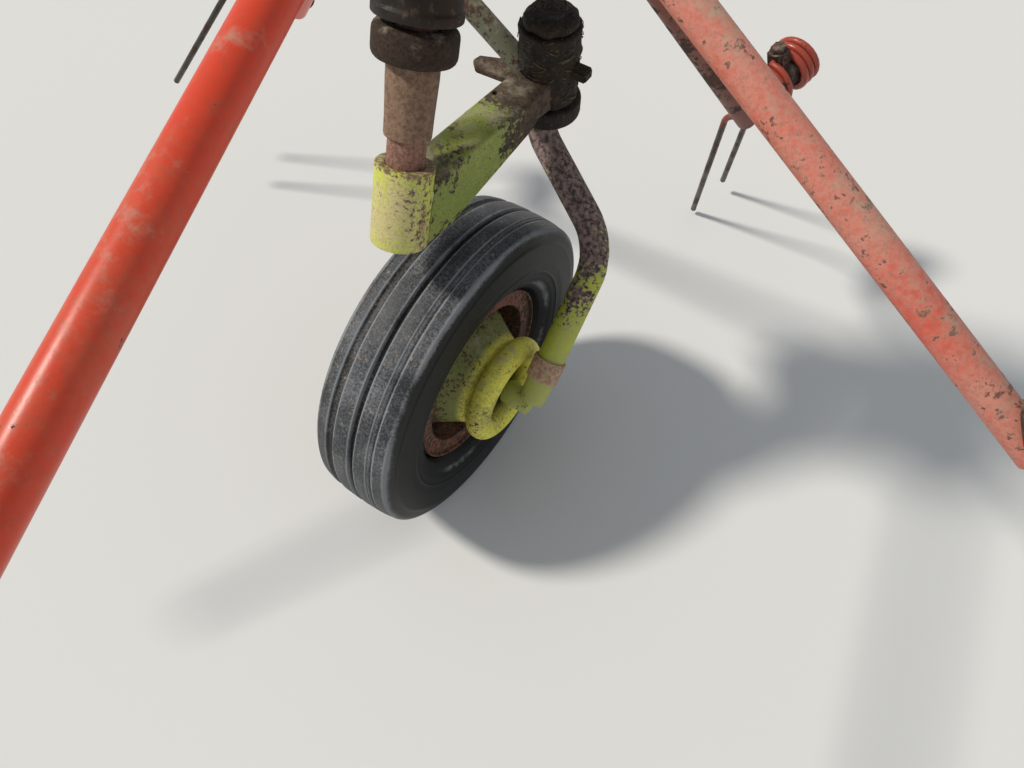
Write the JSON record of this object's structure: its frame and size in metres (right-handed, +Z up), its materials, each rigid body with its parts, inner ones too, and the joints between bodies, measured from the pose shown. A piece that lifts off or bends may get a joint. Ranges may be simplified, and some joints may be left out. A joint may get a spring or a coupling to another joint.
{
  "type": "hay tedder rotor unit with ground wheel",
  "caption": "Tedder rotor on a forward-leaning axle: coned head, straight tube arms with double spring tines, and a bracket with a swivelling ribbed ground wheel on a bent tube leg.",
  "frame": {"origin": "middle of the outer face of the outboard (right) beam flange", "axes": "+X outboard along the machine's beam and out of the flange, +Y the way the machine is towed, +Z up"},
  "size_m": [1.5279, 1.4606, 0.9878],
  "materials": {
    "cast_housing": "rusty, matt",
    "flange_plate": "faded red paint",
    "bare_steel": "dull",
    "rusty_axle": "rusty, matt",
    "rusty_casting": "grainy rust, matt",
    "dust_cup_iron": "rusty, with flecks of paint",
    "green_paint": "worn yellow-green paint",
    "greasy_iron": "greasy, dark",
    "grey_green_bar": "worn grey-green paint",
    "hub_iron": "dark, oily",
    "red_paint": "worn red paint",
    "holder_iron": "dark red paint over iron",
    "spring_steel": "red paint at the coils, worn bright at the tips",
    "leg_tube_paint": "rust with patches of green paint",
    "tyre_rubber": "matt, dusty",
    "rim_paint": "faded orange-red paint",
    "guard_paint": "worn yellow-green paint with rust"
  },
  "bodies": {
    "frame": {"gearbox_housing": "cast_housing", "gearbox_lid": "cast_housing", "oil_plug": "bare_steel", "beam_flange_right": "flange_plate", "beam_flange_left": "flange_plate", "axle_column": "rusty_axle", "column_casting": "rusty_casting", "dust_cup": "dust_cup_iron", "bracket_sleeve": "green_paint", "cross_pin": "rusty_axle", "bracket_arm": "green_paint", "swivel_housing": "greasy_iron", "swivel_cap": "greasy_iron", "latch_plate": "rusty_casting", "swivel_lever": "grey_green_bar"},
    "rotor": {"rotor_head": "hub_iron", "arm_1": "red_paint", "arm_2": "red_paint", "arm_3": "red_paint", "arm_4": "red_paint", "arm_5": "red_paint", "tine_holder_1": "holder_iron", "tine_holder_2": "holder_iron", "tine_holder_3": "holder_iron", "tine_holder_4": "holder_iron", "tine_holder_5": "holder_iron", "tine_1": "spring_steel", "tine_2": "spring_steel", "tine_3": "spring_steel", "tine_4": "spring_steel", "tine_5": "spring_steel"},
    "swivel": {"swivel_pin": "bare_steel", "swivel_collar": "greasy_iron", "leg_tube": "leg_tube_paint", "leg_strap": "rusty_casting", "axle_pin": "bare_steel"},
    "wheel": {"tyre": "tyre_rubber", "rim": "rim_paint", "hub_guard": "guard_paint", "wheel_hub": "hub_iron", "wheel_web": "rim_paint"}
  },
  "joints": [
    {"name": "rotor_spin", "type": "hinge", "parent": "frame", "child": "rotor", "pos_m": [-0.12, 0, 0], "axis": [0, 0.3955, 0.9184], "continuous": true},
    {"name": "wheel_swivel", "type": "hinge", "parent": "frame", "child": "swivel", "pos_m": [-0.06, 0.03891, -0.4], "axis": [0, 0, 1], "range_deg": [-45, 45]},
    {"name": "wheel_spin", "type": "hinge", "parent": "swivel", "child": "wheel", "pos_m": [-0.1157, -0.14445, -0.69193], "axis": [0.9866, -0.1633, 0], "continuous": true}
  ]
}
